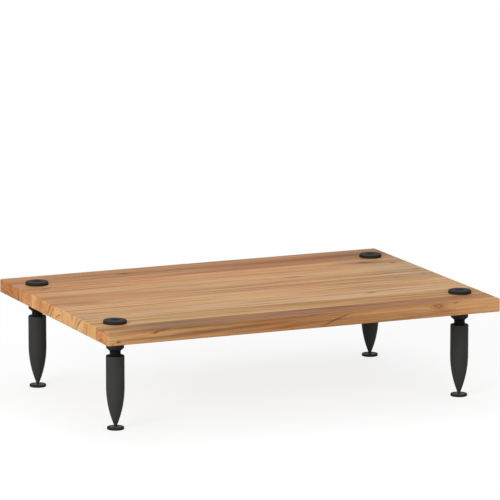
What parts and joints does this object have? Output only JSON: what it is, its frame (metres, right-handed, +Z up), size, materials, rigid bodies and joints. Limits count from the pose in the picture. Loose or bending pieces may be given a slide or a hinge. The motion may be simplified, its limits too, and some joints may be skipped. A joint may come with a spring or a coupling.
{
  "type": "amplifier stand",
  "caption": "Low stand: an edge-glued solid-wood board on turned metal legs that screw up and down to level it, each ending in a point that stands in a loose floor disc.",
  "frame": {"origin": "on the floor, under the middle of the board", "axes": "+X to the right along the board's front edge, its longest side; +Y to the back; +Z up"},
  "size_m": [0.6, 0.42, 0.1545],
  "materials": {
    "board_wood": "satin clear oil",
    "black_metal": "satin black anodised, fine turning marks",
    "stud_steel": "dark oxide"
  },
  "bodies": {
    "board": {"board_stave_1": "board_wood", "board_stave_2": "board_wood", "board_stave_3": "board_wood", "board_stave_4": "board_wood", "board_stave_5": "board_wood", "board_stave_6": "board_wood", "board_stave_7": "board_wood", "board_stave_8": "board_wood", "top_disc_front_left": "black_metal", "clamp_stud_front_left": "stud_steel", "collar_front_left": "black_metal", "top_disc_front_right": "black_metal", "clamp_stud_front_right": "stud_steel", "collar_front_right": "black_metal", "top_disc_back_left": "black_metal", "clamp_stud_back_left": "stud_steel", "collar_back_left": "black_metal", "top_disc_back_right": "black_metal", "clamp_stud_back_right": "stud_steel", "collar_back_right": "black_metal"},
    "floor_disc_front_left": {"floor_disc_front_left": "black_metal"},
    "leg_front_left": {"leg_front_left": "black_metal"},
    "floor_disc_front_right": {"floor_disc_front_right": "black_metal"},
    "leg_front_right": {"leg_front_right": "black_metal"},
    "floor_disc_back_left": {"floor_disc_back_left": "black_metal"},
    "leg_back_left": {"leg_back_left": "black_metal"},
    "floor_disc_back_right": {"floor_disc_back_right": "black_metal"},
    "leg_back_right": {"leg_back_right": "black_metal"}
  },
  "joints": [
    {"name": "level_front_left", "type": "slide", "parent": "board", "child": "floor_disc_front_left", "axis": [0, 0, 1], "range_m": [-0.008, 0.005]},
    {"name": "turn_front_left", "type": "hinge", "parent": "floor_disc_front_left", "child": "leg_front_left", "pos_m": [-0.265, -0.15, 0.05], "axis": [0, 0, 1], "range_deg": [-1440, 900]},
    {"name": "level_front_right", "type": "slide", "parent": "board", "child": "floor_disc_front_right", "axis": [0, 0, 1], "range_m": [-0.008, 0.005]},
    {"name": "turn_front_right", "type": "hinge", "parent": "floor_disc_front_right", "child": "leg_front_right", "pos_m": [0.265, -0.15, 0.05], "axis": [0, 0, 1], "range_deg": [-1440, 900]},
    {"name": "level_back_left", "type": "slide", "parent": "board", "child": "floor_disc_back_left", "axis": [0, 0, 1], "range_m": [-0.008, 0.005]},
    {"name": "turn_back_left", "type": "hinge", "parent": "floor_disc_back_left", "child": "leg_back_left", "pos_m": [-0.265, 0.15, 0.05], "axis": [0, 0, 1], "range_deg": [-1440, 900]},
    {"name": "level_back_right", "type": "slide", "parent": "board", "child": "floor_disc_back_right", "axis": [0, 0, 1], "range_m": [-0.008, 0.005]},
    {"name": "turn_back_right", "type": "hinge", "parent": "floor_disc_back_right", "child": "leg_back_right", "pos_m": [0.265, 0.15, 0.05], "axis": [0, 0, 1], "range_deg": [-1440, 900]}
  ],
  "couplings": [
    {"joint": "level_front_left", "follows": "turn_front_left", "m_per_rad": 0.00031831},
    {"joint": "level_front_right", "follows": "turn_front_right", "m_per_rad": 0.00031831},
    {"joint": "level_back_left", "follows": "turn_back_left", "m_per_rad": 0.00031831},
    {"joint": "level_back_right", "follows": "turn_back_right", "m_per_rad": 0.00031831}
  ]
}
